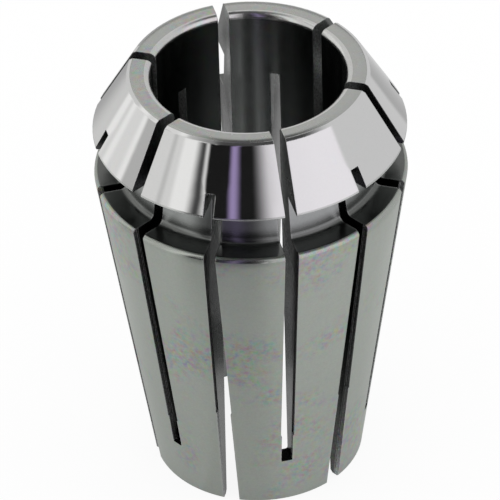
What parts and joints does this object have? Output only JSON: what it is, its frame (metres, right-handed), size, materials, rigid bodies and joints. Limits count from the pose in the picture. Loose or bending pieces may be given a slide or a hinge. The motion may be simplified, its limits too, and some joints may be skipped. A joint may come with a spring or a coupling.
{
  "type": "spring collet",
  "caption": "Slit steel spring collet with a long taper, a groove and a nose cone; it closes on a round tool shank as the nut draws it in.",
  "frame": {"origin": "centre of the flat rear end", "axes": "+Z along the bore axis towards the nose; -Y towards the viewer of the picture, with a slot cut from the rear end 13.9 degrees from +X towards +Y"},
  "size_m": [0.021, 0.021, 0.0315],
  "materials": {
    "ground_steel": "hardened steel, ground taper and polished nose"
  },
  "bodies": {
    "root": {"collet": "ground_steel"}
  },
  "joints": []
}
